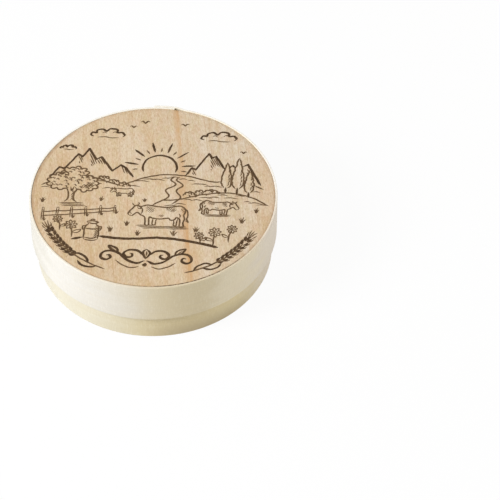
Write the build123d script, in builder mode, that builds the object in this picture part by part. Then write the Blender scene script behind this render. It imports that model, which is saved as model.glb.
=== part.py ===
"""Round cheese box of peeled poplar: a base and a lift-off lid.

Each half is a disc glued inside a hoop.
Each hoop is one thin strip, bent round the disc until it lies over its own end, and stapled there.
The lid's hoop slides down outside the base's hoop until the lid's disc rests on the base's edge.

Millimetres, +Z up. The origin is the centre of the base's underside.
Headings are degrees counter-clockwise from +X, seen from above. The seams are at the back, near +Y.
"""

import os
from math import cos, degrees, radians, sin

from build123d import *

os.makedirs("parts", exist_ok=True)

# Whole box
lid_outer_diameter = 118.0
box_height = 37.0

# Lid
lid_strip_height = 22.4
lid_strip_thickness = 1.0
lid_disc_thickness = 2.0
lid_disc_recess = 0.3
lid_lap_length = 10.0
lid_lap_start_heading = 81.8
lid_staple_count = 2

# Base
base_strip_thickness = 0.9
base_disc_thickness = 2.0
base_lap_length = 14.0
base_lap_start_heading = 112.0
base_staple_count = 3

# Fit of the lid on the base: free play all round, measured outside the base's seam
lid_play = 0.2

# What all the strips share
lap_gap = 0.1
ramp_length = 6.0
strip_edge_chamfer = 0.2
disc_edge_chamfer = 0.15

# Joint between a disc's rim and its hoop, with a line of glue low in it
joint_gap = 0.3
glue_fit = 0.05
glue_height = 1.4

# Staples of flat wire, driven from outside and clenched inside
wire_width = 1.0
wire_thickness = 0.45
wire_bend_radius = 0.4
staple_crown = 7.0
staple_clench = 2.4
staple_proud = 0.1
staple_fit = 0.02

# Radii and heights that follow
lid_inner_radius = lid_outer_diameter / 2 - lid_strip_thickness
base_radius = lid_inner_radius - lid_play - base_strip_thickness - lap_gap
base_inner_radius = base_radius - base_strip_thickness

lid_strip_bottom = box_height - lid_strip_height
lid_disc_top = box_height - lid_disc_recess
lid_disc_bottom = lid_disc_top - lid_disc_thickness
base_strip_height = lid_disc_bottom


def at_heading(radius, heading):
    """A point on a circle round the box's axis."""
    return (radius * cos(radians(heading)), radius * sin(radians(heading)))


def strip_plan(inner_radius, thickness, lap_start, lap_length):
    """The outline of a whole strip in plan, closed by its two square-cut ends."""
    outer_radius = inner_radius + thickness
    step = thickness + lap_gap
    ramp_angle = degrees(ramp_length / inner_radius)
    lap_angle = degrees(lap_length / inner_radius)
    with BuildLine() as outline:
        ends = []
        for radius in (inner_radius, outer_radius):
            run = CenterArc((0, 0), radius, lap_start, 360 - ramp_angle)
            lap = CenterArc((0, 0), radius + step, lap_start, lap_angle)
            Spline(run @ 1, lap @ 0, tangents=(run % 1, lap % 0))
            ends.append((run @ 0, lap @ 1))
        for inner_corner, outer_corner in zip(*ends):
            Line(inner_corner, outer_corner)
    return outline.edges()


def staples(inner_radius, thickness, lap_start, lap_length, low, high, count, slack):
    """A column of staples through both layers of a lap, evenly spaced between two heights."""
    lap_middle = lap_start + degrees(lap_length / inner_radius) / 2
    outward = (*at_heading(1, lap_middle), 0)
    sideways = (sin(radians(lap_middle)), -cos(radians(lap_middle)), 0)
    crown_radius = inner_radius + 2 * thickness + lap_gap + staple_proud - wire_thickness / 2
    clench_radius = inner_radius - staple_proud + wire_thickness / 2
    reach = staple_crown / 2
    bay = (high - low) / count
    first = low + bay / 2
    with BuildPart() as column:
        with BuildSketch(Plane(origin=(0, 0, 0), x_dir=outward, z_dir=sideways)):
            with BuildLine():
                for index in range(count):
                    middle = first + bay * index
                    FilletPolyline(
                        (clench_radius, middle + reach - staple_clench),
                        (clench_radius, middle + reach),
                        (crown_radius, middle + reach),
                        (crown_radius, middle - reach),
                        (clench_radius, middle - reach),
                        (clench_radius, middle - reach + staple_clench),
                        radius=wire_bend_radius,
                    )
            trace(line_width=wire_thickness + 2 * slack)
        extrude(amount=wire_width / 2 + slack, both=True)
    return column.part


# Each hoop in plan, and the clear height and number of its staples, away from the disc it holds
lid_bend = (lid_inner_radius, lid_strip_thickness, lid_lap_start_heading, lid_lap_length)
lid_bays = (lid_strip_bottom, lid_disc_bottom, lid_staple_count)
base_bend = (base_inner_radius, base_strip_thickness, base_lap_start_heading, base_lap_length)
base_bays = (base_disc_thickness, base_strip_height, base_staple_count)

# Base hoop: the tall inner strip, from the floor up to the lid's disc
with BuildPart() as base_hoop:
    with BuildSketch(Plane.XY):
        make_face(strip_plan(*base_bend))
    extrude(amount=base_strip_height)
    base_rims = base_hoop.edges().group_by(Axis.Z)
    chamfer(base_rims[0] + base_rims[-1], length=strip_edge_chamfer)
    add(staples(*base_bend, *base_bays, slack=staple_fit), mode=Mode.SUBTRACT)
base_hoop.part.label = "base_hoop"

# Base disc: flush with the foot of its hoop
with BuildPart() as base_disc:
    with BuildSketch(Plane.XY):
        Circle(base_inner_radius - joint_gap)
    extrude(amount=base_disc_thickness)
    chamfer(base_disc.edges().filter_by(GeomType.CIRCLE), length=disc_edge_chamfer)
base_disc.part.label = "base_disc"

# Base glue: a thin line low in the joint, hidden from both faces
base_glue_bottom = (base_disc_thickness - glue_height) / 2
with BuildPart() as base_glue_line:
    with BuildSketch(Plane.XY.offset(base_glue_bottom)):
        Circle(base_inner_radius - glue_fit)
        Circle(base_inner_radius - joint_gap + glue_fit, mode=Mode.SUBTRACT)
    extrude(amount=glue_height)
base_glue_line.part.label = "base_glue_line"

# Base staples
with BuildPart() as base_staples:
    add(staples(*base_bend, *base_bays, slack=0))
base_staples.part.label = "base_staples"

# Lid hoop: the wider strip that shows all round, standing a little above its disc
with BuildPart() as lid_hoop:
    with BuildSketch(Plane.XY.offset(lid_strip_bottom)):
        make_face(strip_plan(*lid_bend))
    extrude(amount=lid_strip_height)
    lid_rims = lid_hoop.edges().group_by(Axis.Z)
    chamfer(lid_rims[0] + lid_rims[-1], length=strip_edge_chamfer)
    add(staples(*lid_bend, *lid_bays, slack=staple_fit), mode=Mode.SUBTRACT)
lid_hoop.part.label = "lid_hoop"

# Lid disc: a little below the hoop's edge, and the lid's seat on the base
with BuildPart() as lid_disc:
    with BuildSketch(Plane.XY.offset(lid_disc_bottom)):
        Circle(lid_inner_radius - joint_gap)
    extrude(amount=lid_disc_thickness)
    chamfer(lid_disc.edges().filter_by(GeomType.CIRCLE), length=disc_edge_chamfer)
lid_disc.part.label = "lid_disc"

# Lid glue: the joint stays open above it, which shows as a dark line round the disc
lid_glue_bottom = lid_disc_bottom + (lid_disc_thickness - glue_height) / 2
with BuildPart() as lid_glue_line:
    with BuildSketch(Plane.XY.offset(lid_glue_bottom)):
        Circle(lid_inner_radius - glue_fit)
        Circle(lid_inner_radius - joint_gap + glue_fit, mode=Mode.SUBTRACT)
    extrude(amount=glue_height)
lid_glue_line.part.label = "lid_glue_line"

# Lid staples
with BuildPart() as lid_staples:
    add(staples(*lid_bend, *lid_bays, slack=0))
lid_staples.part.label = "lid_staples"

finished = (
    base_hoop,
    base_disc,
    base_glue_line,
    base_staples,
    lid_hoop,
    lid_disc,
    lid_glue_line,
    lid_staples,
)
for piece in finished:
    export_step(piece.part, f"parts/{piece.part.label}.step")
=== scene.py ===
"""The looks of a round cheese box of bent poplar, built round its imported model.

Metres, in the model's own frame: +Z up, the floor at zero, the photograph's viewer towards -Y.
Headings are degrees counter-clockwise from +X, seen from above.
"""

import random
from functools import partial, reduce
from math import atan2, cos, degrees, dist, exp, pi, radians, sin
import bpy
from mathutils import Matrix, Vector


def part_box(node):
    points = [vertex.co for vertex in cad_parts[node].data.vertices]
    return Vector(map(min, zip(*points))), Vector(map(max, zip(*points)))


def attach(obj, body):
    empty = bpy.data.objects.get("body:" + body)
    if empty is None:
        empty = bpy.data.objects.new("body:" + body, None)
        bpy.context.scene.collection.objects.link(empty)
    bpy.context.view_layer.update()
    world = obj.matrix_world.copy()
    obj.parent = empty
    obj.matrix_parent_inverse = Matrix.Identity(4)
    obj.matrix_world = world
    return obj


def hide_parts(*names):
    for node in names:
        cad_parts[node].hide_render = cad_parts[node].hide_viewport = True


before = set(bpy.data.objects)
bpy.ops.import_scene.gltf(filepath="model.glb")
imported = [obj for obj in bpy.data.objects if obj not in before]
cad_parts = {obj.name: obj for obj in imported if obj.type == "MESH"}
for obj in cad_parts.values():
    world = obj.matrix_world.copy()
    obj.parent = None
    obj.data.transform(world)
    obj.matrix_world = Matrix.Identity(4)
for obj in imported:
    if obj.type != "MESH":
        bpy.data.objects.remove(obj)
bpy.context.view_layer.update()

from types import SimpleNamespace

import bpy
from mathutils import Matrix, Vector, noise

MM = 0.001

# Sizes that the parts' boxes don't give
STRIP_CORNER = 0.2 * MM
DISC_CORNER = 0.15 * MM
LAP_GAP = 0.1 * MM
RAMP_LENGTH = 6.0 * MM

# The photograph's camera, fitted to the box's outlines in it
CAMERA_PITCH = 48.14
CAMERA_ROLL = -0.673
CAMERA_LENS = 175.2
CAMERA_SENSOR = 36.0
CAMERA_PLACE = (0.0462, -0.7907, 0.8808)


class Half:
    """The lid or the base: its body, its sizes, and the places of its lap and staples."""

    def __init__(self, body, strip_box, disc_box, strip_thickness, lap_start, lap_length, staple_count):
        self.body = body
        self.strip_low, self.strip_high = strip_box
        self.disc_low, self.disc_high = disc_box
        self.strip_thickness = strip_thickness
        self.inner_radius = self.strip_high.x - strip_thickness
        self.lap_start = lap_start
        self.lap_length = lap_length
        self.lap_middle = lap_start + degrees(lap_length / self.inner_radius) / 2
        if self.disc_low.z > (self.strip_low.z + self.strip_high.z) / 2:
            clear_low, clear_high = self.strip_low.z, self.disc_low.z
        else:
            clear_low, clear_high = self.disc_high.z, self.strip_high.z
        bay = (clear_high - clear_low) / staple_count
        self.staple_heights = [clear_low + bay * (index + 0.5) for index in range(staple_count)]


LID = Half(
    "lid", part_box("lid_hoop"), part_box("lid_disc"),
    strip_thickness=1.0 * MM, lap_start=81.8, lap_length=10.0 * MM, staple_count=2,
)
BASE = Half(
    "base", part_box("base_hoop"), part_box("base_disc"),
    strip_thickness=0.9 * MM, lap_start=112.0, lap_length=14.0 * MM, staple_count=3,
)


# Nodes of the world and of materials

def fill_inputs(tree, node, inputs):
    """Puts numbers, colours or other nodes' outputs into a node's inputs."""
    for socket, value in inputs.items():
        if isinstance(value, bpy.types.NodeSocket):
            tree.links.new(value, node.inputs[socket])
        else:
            node.inputs[socket].default_value = value


def add_node(tree, kind, inputs, **settings):
    """A shader node of a kind, with its inputs and settings."""
    node = tree.nodes.new("ShaderNode" + kind)
    for setting, value in settings.items():
        setattr(node, setting, value)
    fill_inputs(tree, node, inputs)
    return node


def add_seen(tree):
    """A share that is 1 for what the camera or a reflection sees, and 0 for what lights other surfaces."""
    rays = add_node(tree, "LightPath", {}).outputs
    either = {0: rays["Is Camera Ray"], 1: rays["Is Glossy Ray"]}
    return add_node(tree, "Math", either, operation="MAXIMUM").outputs[0]


def add_output(tree, kind, share, first, second):
    """Sends a mix of two shaders to the tree's output."""
    mixer = add_node(tree, "MixShader", {0: share, 1: first.outputs[0], 2: second.outputs[0]})
    add_node(tree, kind, {0: mixer.outputs[0]})


# Camera, lights and stage

WHITE = (1, 1, 1, 1)
FLOOR_DROP = 0.05 * MM
FLOOR_GREY = (0.64, 0.64, 0.64, 1)
FLOOR_WHITE = (0.95, 0.95, 0.95, 1)


def show(name, data):
    """Puts an object with its data into the scene."""
    thing = bpy.data.objects.new(name, data)
    bpy.context.scene.collection.objects.link(thing)
    return thing


def add_camera():
    """The camera at the photograph's viewing angle."""
    pitch, roll = radians(CAMERA_PITCH), radians(CAMERA_ROLL)
    right = Vector((1, 0, 0))
    down = Vector((0, -sin(pitch), -cos(pitch)))
    forward = Vector((0, cos(pitch), -sin(pitch)))
    image_right = cos(roll) * right + sin(roll) * down
    image_down = cos(roll) * down - sin(roll) * right
    turn = Matrix((image_right, -image_down, -forward)).transposed().to_4x4()
    data = bpy.data.cameras.new("photo_camera")
    data.lens = CAMERA_LENS
    data.sensor_width = CAMERA_SENSOR
    camera = show("photo_camera", data)
    camera.matrix_world = Matrix.Translation(CAMERA_PLACE) @ turn
    bpy.context.scene.camera = camera


def add_area_light(name, heading, height_angle, distance, size, watts, colour):
    """A soft square lamp that looks at the box from a heading and a height."""
    data = bpy.data.lights.new(name, "AREA")
    data.shape = "SQUARE"
    data.size = size
    data.energy = watts
    data.color = colour
    lamp = show(name, data)
    level, up = radians(heading), radians(height_angle)
    toward = Vector((cos(level) * cos(up), sin(level) * cos(up), sin(up)))
    lamp.location = toward * distance
    lamp.rotation_euler = toward.to_track_quat("Z", "Y").to_euler()


def add_world(strength, colour):
    """Even light from all round, and a white background for the camera and for reflections."""
    world = bpy.data.worlds.new("studio")
    bpy.context.scene.world = world
    world.use_nodes = True
    tree = world.node_tree
    tree.nodes.clear()
    fill = add_node(tree, "Background", {"Color": colour, "Strength": strength})
    white = add_node(tree, "Background", {"Color": WHITE})
    add_output(tree, "OutputWorld", add_seen(tree), fill, white)


def add_floor(half_side, whiteness):
    """A pale floor that the camera sees as nearly white, with the box's shadow kept on it."""
    mesh = bpy.data.meshes.new("floor")
    signs = ((-1, -1), (1, -1), (1, 1), (-1, 1))
    mesh.from_pydata([(x * half_side, y * half_side, -FLOOR_DROP) for x, y in signs], [], [(0, 1, 2, 3)])
    material = bpy.data.materials.new("floor_white")
    material.use_nodes = True
    tree = material.node_tree
    tree.nodes.clear()
    seen = add_seen(tree)
    share = add_node(tree, "Math", {0: seen, 1: whiteness}, operation="MULTIPLY")
    tone = add_node(tree, "Mix", {0: seen, 6: FLOOR_GREY, 7: FLOOR_WHITE}, data_type="RGBA")
    paper = add_node(tree, "BsdfDiffuse", {"Color": tone.outputs[2]})
    add_output(tree, "OutputMaterial", share.outputs[0], paper, add_node(tree, "Emission", {}))
    mesh.materials.append(material)
    show("floor", mesh)


# Materials

def linear(red, green, blue):
    """A colour as the eye reads it, 0 to 255, as the linear values that Blender takes."""
    def channel(value):
        share = value / 255
        return share / 12.92 if share <= 0.04045 else ((share + 0.055) / 1.055) ** 2.4
    return (channel(red), channel(green), channel(blue), 1.0)


class Surface:
    """A material under construction: its nodes, the turn of its grain about Z and its colour so far.

    Tones are colours as the eye reads them, 0 to 255, or a node's output.
    """

    def __init__(self, name, grain_turn=0.0):
        self.material = bpy.data.materials.new(name)
        self.material.use_nodes = True
        self.add = partial(add_node, self.material.node_tree)
        self.place = self.add("TexCoord", {}).outputs["Object"]
        self.grain_turn = grain_turn
        self.colour = None

    def math(self, operation, first, second=0.0, clamp=False):
        """Arithmetic on one value or two."""
        inputs = {0: first, 1: second}
        return self.add("Math", inputs, operation=operation, use_clamp=clamp).outputs[0]

    def total(self, *values):
        """The sum of some values."""
        return reduce(partial(self.math, "ADD"), values)

    def product(self, *values):
        """Some values multiplied together."""
        return reduce(partial(self.math, "MULTIPLY"), values)

    def less(self, value, taken):
        """A value with another taken from it."""
        return self.math("SUBTRACT", value, taken)

    def length(self, first, second):
        """The length of a line with these two legs."""
        return self.math("SQRT", self.total(self.product(first, first), self.product(second, second)))

    def split(self, vector):
        """The three parts of a vector."""
        return self.add("SeparateXYZ", {0: vector}).outputs

    def stretched(self, per_metre):
        """The place turned with the grain, then scaled on each axis."""
        turned = {"Vector": self.place, "Rotation": (0, 0, radians(self.grain_turn))}
        inputs = {0: self.add("Mapping", turned, vector_type="POINT").outputs[0], 1: per_metre}
        return self.add("VectorMath", inputs, operation="MULTIPLY").outputs[0]

    def pattern(self, per_metre, detail=3.0, roughness=0.6, distortion=0.0):
        """A random pattern from 0 to 1, this fine across, along and up the grain."""
        return self.add("TexNoise", {
            "Vector": self.stretched(per_metre), "Scale": 1.0,
            "Detail": detail, "Roughness": roughness, "Distortion": distortion,
        }).outputs["Fac"]

    def ramp(self, value, low, high, start=0.0, end=1.0):
        """A value taken smoothly from one range to another, and held at its ends."""
        inputs = dict(enumerate((value, low, high, start, end)))
        return self.add("MapRange", inputs, interpolation_type="SMOOTHSTEP").outputs[0]

    def along(self, heading):
        """How far a place lies from the box's axis towards a heading."""
        east, north, _ = self.split(self.place)
        turn = radians(heading)
        return self.total(self.product(east, cos(turn)), self.product(north, sin(turn)))

    def toward(self, heading, spread):
        """A share that is 1 where the box faces a heading and falls to 0 some degrees to each side of it."""
        east, north, _ = self.split(self.place)
        facing = self.math("DIVIDE", self.along(heading), self.length(east, north))
        return self.ramp(facing, cos(radians(spread)), 1.0)

    def mix(self, share, first, second):
        """Two tones mixed."""
        first, second = (linear(*tone) if isinstance(tone, tuple) else tone for tone in (first, second))
        return self.add("Mix", {0: share, 6: first, 7: second}, data_type="RGBA").outputs[2]

    def paint(self, share, tone):
        """Lays a tone over the colour so far."""
        self.colour = self.mix(share, self.colour, tone)

    def layer(self, *layers):
        """Lays tones on the colour so far: each a pattern, its range, the shares at its ends and a tone."""
        for pattern, low, high, start, end, tone in layers:
            self.paint(self.ramp(pattern, low, high, start, end), tone)

    def tint(self, share, filter_colour):
        """Multiplies the colour so far by a linear one."""
        inputs = {0: share, 6: self.colour, 7: (*filter_colour, 1)}
        self.colour = self.add("Mix", inputs, data_type="RGBA", blend_type="MULTIPLY").outputs[2]

    def finish(self, roughness, specular, relief, relief_share, relief_height, metallic=0.0):
        """Joins colour, gloss and relief to the shader."""
        bump = self.add("Bump", {"Height": relief, "Strength": relief_share, "Distance": relief_height})
        tree = self.material.node_tree
        fill_inputs(tree, tree.nodes["Principled BSDF"], {
            "Base Color": self.colour, "Normal": bump.outputs[0], "Roughness": roughness,
            "Specular IOR Level": specular, "Metallic": metallic,
        })
        return self.material


# The boards. Streaks along the grain have a place across it, a soft side, a strength and a tone. Patches,
# where streaks spread, have a place across and along it, half a width, half a length, a strength and a tone.
# Joint shades, painted shade in the gap between the board and its strip, have a heading, a spread to each
# side and a strength.
# The last four are headings: where a board is warmer, cooler, least darkened at its rim, and darker in a band
# inside its rim.
LID_BOARD = SimpleNamespace(
    grain_turn=-5.0,
    streaks=(
        (14.6 * MM, 4.2 * MM, 0.88, (205, 157, 104)),
        (40.0 * MM, 2.4 * MM, 0.5, (192, 160, 118)),
        (-31.0 * MM, 2.6 * MM, 0.35, (200, 164, 122)),
    ),
    patches=(
        (14.4 * MM, 49.0 * MM, 3.4 * MM, 16.0 * MM, 0.38, (205, 160, 108)),
        (16.6 * MM, -4.0 * MM, 5.0 * MM, 24.0 * MM, 0.4, (208, 168, 116)),
        (15.2 * MM, -43.0 * MM, 7.0 * MM, 18.0 * MM, 0.5, (206, 162, 108)),
    ),
    joint_shades=((-90, 48, 0.24), (-65, 37, 0.56), (172, 45, 0.1)),
    warm=-150, cool=12, clean=40, darker_side=165,
)
BASE_BOARD = SimpleNamespace(
    grain_turn=24.0,
    streaks=((-21.0 * MM, 3.4 * MM, 0.6, (200, 158, 110)), (6.0 * MM, 2.0 * MM, 0.35, (196, 164, 124))),
    patches=(),
    joint_shades=(),
    warm=70, cool=-120, clean=-50, darker_side=110,
)
JOINT_SHADE_WIDTH = 0.55 * MM
STREAK_WANDER = 7 * MM


def paint_streaks(wood, board, across, along, bands, blots, fibres):
    """Coloured streaks that wander with the bands of the grain, and the patches where they spread."""
    wander = wood.product(wood.less(bands, 0.5), STREAK_WANDER)
    for offset, soft, strength, tone in board.streaks:
        away = wood.less(wood.total(across, wander), offset)
        body = wood.product(wood.ramp(away, -soft, 0.0), wood.ramp(away, 0.2 * MM, 1.5 * MM, 1.0, 0.0))
        streaky = wood.ramp(fibres, 0.25, 0.7, 0.55, 1.0)
        patchy = wood.product(wood.ramp(blots, 0.35, 0.65, 0.35, 1.0), streaky)
        wood.paint(wood.product(body, patchy, strength), tone)
    for middle, end, half_width, half_length, strength, tone in board.patches:
        aside = wood.math("DIVIDE", wood.less(across, middle), half_width)
        ahead = wood.math("DIVIDE", wood.less(along, end), half_length)
        spot = wood.ramp(wood.length(aside, ahead), 1.0, 0.2)
        wood.paint(wood.product(spot, wood.ramp(fibres, 0.25, 0.7, 0.6, 1.0), strength), tone)


def paint_rim(wood, board, radius, out, blush):
    """The board's rim: darker near its edge except towards one heading, darker in a band on one side, and
    painted shade in the joint, strongest where the joint is open.
    """
    darkening = wood.product(
        wood.ramp(out, radius - 1.3 * MM, radius - 0.2 * MM),
        wood.ramp(blush, 0.3, 0.6, 0.08, 0.28),
        wood.less(1.0, wood.product(wood.toward(board.clean, 95), 0.9)),
    )
    wood.paint(darkening, (184, 146, 106))
    side_darkening = wood.product(
        wood.ramp(out, radius - 1.7 * MM, radius - 0.9 * MM),
        wood.toward(board.darker_side, 42),
        wood.ramp(blush, 0.3, 0.6, 0.26, 0.44),
    )
    wood.paint(side_darkening, (160, 128, 96))
    # Painted shade in the joint between board and strip, dotted, darkest at the joint shades' headings
    shade = 0.0
    for heading, spread, strength in board.joint_shades:
        shade = wood.total(shade, wood.product(wood.toward(heading, spread), strength))
    specks = wood.pattern((1000, 1000, 1000), 2.0)
    shade = wood.product(wood.total(shade, 0.02), wood.ramp(specks, 0.36, 0.6, 0.55, 1.4))
    edge = wood.ramp(out, radius - JOINT_SHADE_WIDTH, radius - DISC_CORNER)
    wood.paint(wood.math("MULTIPLY", edge, shade, clamp=True), (92, 68, 44))


def disc_wood(name, radius, board):
    """Planed poplar: soft bands and growth lines, mottled pink and straw, with coloured streaks."""
    wood = Surface(name, board.grain_turn)
    across, along, _ = wood.split(wood.stretched((1, 1, 1)))
    bands = wood.pattern((110, 14, 60), 3.0, 0.55, 0.2)
    fields = wood.pattern((75, 30, 60), 2.0, 0.5)
    blots = wood.pattern((170, 75, 400), distortion=0.3)
    blush = wood.pattern((430, 190, 250))
    straw = wood.pattern((380, 170, 900))
    grain = wood.pattern((480, 22, 200), 4.0, 0.6, 0.15)
    fibres = wood.pattern((1300, 110, 300), 4.0, 0.65)
    hairs = wood.pattern((3400, 420, 900), 3.0, 0.65)
    speckle = wood.pattern((1500, 460, 900), 3.0, 0.75)
    flecks = wood.pattern((1900, 620, 1500), 2.0, 0.5)
    rings = wood.pattern((120, 4.5, 60), 1.0, 0.4)
    wood.colour = wood.mix(wood.ramp(bands, 0.3, 0.7), (215, 190, 153), (223, 203, 173))
    wood.layer(
        (fields, 0.4, 0.62, 0.0, 0.75, (227, 210, 187)),
        (blots, 0.5, 0.68, 0.0, 0.5, (210, 172, 128)),
        (blush, 0.42, 0.66, 0.0, 0.55, (222, 188, 157)),
        (straw, 0.46, 0.7, 0.0, 0.65, (215, 195, 150)),
        (grain, 0.36, 0.52, 0.28, 0.0, (205, 177, 136)),
        (grain, 0.48, 0.66, 0.0, 0.4, (230, 214, 186)),
        (fibres, 0.3, 0.7, 0.3, 0.0, (198, 168, 130)),
        (hairs, 0.55, 0.8, 0.0, 0.25, (232, 217, 192)),
        (speckle, 0.3, 0.5, 0.68, 0.0, (184, 154, 118)),
        (speckle, 0.5, 0.72, 0.0, 0.68, (240, 222, 198)),
        (flecks, 0.68, 0.76, 0.0, 0.5, (166, 132, 96)),
    )
    for heading, low, high, filter_colour in (
        (board.warm, 2 * MM, 46 * MM, (0.92, 0.88, 0.82)),
        (board.cool, -8 * MM, 34 * MM, (1.0, 1.035, 1.1)),
        (board.cool - 10, 44 * MM, 56 * MM, (0.96, 0.88, 0.8)),
    ):
        wood.tint(wood.ramp(wood.along(heading), low, high), filter_colour)
    ring_line = wood.math("ABSOLUTE", wood.less(rings, 0.5))
    wood.layer((ring_line, 0.0, 0.012, 0.3, 0.0, (186, 152, 112)))
    paint_streaks(wood, board, across, along, bands, blots, fibres)
    paint_rim(wood, board, radius, wood.length(across, along), blush)
    relief = wood.total(fibres, wood.product(speckle, 0.6))
    return wood.finish(wood.ramp(fibres, 0.2, 0.8, 0.62, 0.78), 0.25, relief, 0.35, 0.08 * MM)


# Staples of flat wire, one above another in the middle of each lap
STAPLE_WIDTH = 1.0 * MM
STAPLE_THICKNESS = 0.45 * MM
STAPLE_BEND = 0.4 * MM
STAPLE_CROWN = 7.0 * MM
STAPLE_CLENCH = 2.4 * MM
STAPLE_PROUD = 0.1 * MM
STAPLE_STAIN = 0.45 * MM

# The tones of a strip: its left side, paler and greyer, partly its own tone and partly painted light, its
# front, its right side and the dark lines of its grain
LID_TONES = ((228, 226, 221), (232, 219, 189), (246, 234, 207), (212, 200, 172))
BASE_TONES = ((225, 220, 202), (230, 213, 167), (233, 218, 178), (204, 189, 148))
PALE_FIBRE = (255, 250, 240)


def paint_staple_stains(wood, half, fuzz):
    """Dark stains where the staples bite into the lap."""
    east, north, up = wood.split(wood.place)
    lap = radians(half.lap_middle)
    sideways = wood.less(wood.product(east, sin(lap)), wood.product(north, cos(lap)))
    beside = wood.less(wood.math("ABSOLUTE", sideways), STAPLE_WIDTH / 2)
    darkening = 0.0
    for middle in half.staple_heights:
        beyond = wood.less(wood.math("ABSOLUTE", wood.less(up, middle)), STAPLE_CROWN / 2)
        away = wood.math("MAXIMUM", beside, beyond)
        darkening = wood.total(darkening, wood.ramp(away, 0.0, STAPLE_STAIN, 0.5, 0.0))
    on_lap = wood.toward(half.lap_middle, 8)
    wood.paint(wood.product(darkening, on_lap, wood.ramp(fuzz, 0.3, 0.7, 0.5, 1.0)), (120, 98, 70))


def paint_cut_edges(wood, clouds, fuzz):
    """The cut edges above and below: nearly white at the back, creamier on the left, and a darker straw in
    front as painted shade.
    """
    cut = wood.mix(wood.toward(-140, 48), (254, 250, 241), (241, 231, 212))
    mottled = wood.mix(wood.ramp(clouds, 0.42, 0.6), (223, 208, 186), (235, 222, 204))
    cut = wood.mix(wood.toward(-30, 38), cut, mottled)
    # Painted shade: darker straw on the front right, where the edges face away from both lamps
    cut = wood.mix(wood.toward(-72, 52), cut, (217, 202, 174))
    normal = wood.add("NewGeometry", {}).outputs["True Normal"]
    level = wood.math("ABSOLUTE", wood.split(normal)[2])
    wood.paint(wood.product(wood.ramp(level, 0.5, 0.9), wood.ramp(fuzz, 0.3, 0.65, 0.65, 1.0)), cut)


def strip_wood(name, half, tones):
    """Peeled poplar: faint grain round the box, whiter on one side (partly painted light) and on cut edges,
    with painted shade at the far left, the front right and the foot, stained at staples.
    """
    left, front, right, dark = tones
    wood = Surface(name)
    east, _, up = wood.split(wood.place)
    lines = wood.pattern((22, 22, 1500), 4.0, 0.62)
    hairs = wood.pattern((90, 90, 4200))
    clouds = wood.pattern((38, 38, 110), 3.0, 0.55)
    flecks = wood.pattern((260, 260, 2600), 2.0, 0.5)
    dashes = wood.pattern((420, 420, 5200), 2.0, 0.55)
    rays = wood.pattern((1700, 1700, 360), 3.0, 0.65)
    fuzz = wood.pattern((1400, 1400, 1400), 2.0)
    side = wood.total(wood.product(east, 1 / LID.strip_high.x), wood.product(wood.less(clouds, 0.5), 0.4))
    wood.colour = wood.mix(wood.ramp(side, -0.74, 0.34), left, front)
    # Painted shade: darker and greyer at the far left, where the left lamp's light falls off, and darker
    # straw on the front right, which faces away from both lamps
    wood.layer((side, -0.72, -1.0, 0.0, 0.8, (203, 201, 192)))
    wood.paint(wood.product(wood.toward(-74, 24), 0.6), (228, 211, 170))
    wood.layer(
        (side, 0.42, 0.58, 0.0, 0.6, right),
        (side, 0.7, 0.98, 0.0, 0.85, (230, 220, 210)),
        (lines, 0.35, 0.75, 0.24, 0.03, dark),
        (hairs, 0.6, 0.85, 0.0, 0.22, PALE_FIBRE),
        (rays, 0.48, 0.3, 0.0, 0.2, dark),
        (rays, 0.52, 0.7, 0.0, 0.24, (250, 243, 228)),
        (flecks, 0.7, 0.8, 0.0, 0.3, dark),
        (dashes, 0.62, 0.78, 0.0, 0.32, dark),
        (dashes, 0.38, 0.24, 0.0, 0.22, PALE_FIBRE),
    )
    paint_staple_stains(wood, half, fuzz)
    # Painted shade: darker towards the foot on the front right, where the floor shades the strip
    foot = wood.ramp(up, 1 * MM, 10 * MM, 0.75, 0.0)
    wood.paint(wood.product(foot, wood.toward(-63, 34)), (196, 180, 146))
    paint_cut_edges(wood, clouds, fuzz)
    relief = wood.total(lines, wood.product(dashes, 0.8))
    return wood.finish(wood.ramp(lines, 0.2, 0.8, 0.55, 0.72), 0.3, relief, 0.3, 0.05 * MM)


def print_ink(name, dark, pale, bare_share):
    """Brown printing ink, thinner where it lies on the ridges of the grain."""
    ink = Surface(name, LID_BOARD.grain_turn)
    fibres = ink.pattern((1300, 160, 300))
    patches = ink.pattern((420, 260, 300))
    pores = ink.pattern((2600, 1300, 900), 2.0)
    ink.colour = ink.mix(ink.ramp(patches, 0.35, 0.7), dark, pale)
    ink.layer(
        (fibres, 0.54, 0.76, 0.0, bare_share, (150, 122, 90)),
        (pores, 0.56, 0.74, 0.0, bare_share, (172, 144, 110)),
    )
    return ink.finish(ink.ramp(fibres, 0.2, 0.8, 0.6, 0.75), 0.2, fibres, 0.3, 0.04 * MM)


def staple_metal():
    """Galvanised wire, dulled and finely scratched."""
    metal = Surface("galvanised_wire")
    scratches = metal.pattern((3000, 3000, 400))
    bloom = metal.pattern((900, 900, 900))
    metal.colour = metal.mix(metal.ramp(bloom, 0.3, 0.75), (154, 150, 138), (138, 133, 120))
    metal.layer(
        (scratches, 0.56, 0.72, 0.0, 0.6, (206, 202, 190)),
        (scratches, 0.44, 0.28, 0.0, 0.6, (98, 93, 80)),
    )
    roughness = metal.ramp(scratches, 0.3, 0.7, 0.3, 0.42)
    return metal.finish(roughness, 0.5, scratches, 0.15, 0.02 * MM, metallic=1.0)


def set_glue():
    """Wood glue that has set brown in the joint, with dust in it, paler where the joint is tight."""
    glue = Surface("set_glue")
    patches = glue.pattern((400, 400, 400))
    glue.colour = glue.mix(glue.ramp(patches, 0.35, 0.7), (112, 82, 52), (74, 52, 32))
    glue.paint(glue.product(glue.toward(20, 80), 0.8), (196, 170, 136))
    return glue.finish(glue.ramp(patches, 0.3, 0.7, 0.35, 0.6), 0.4, patches, 0.2, 0.05 * MM)


# Shapes

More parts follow.
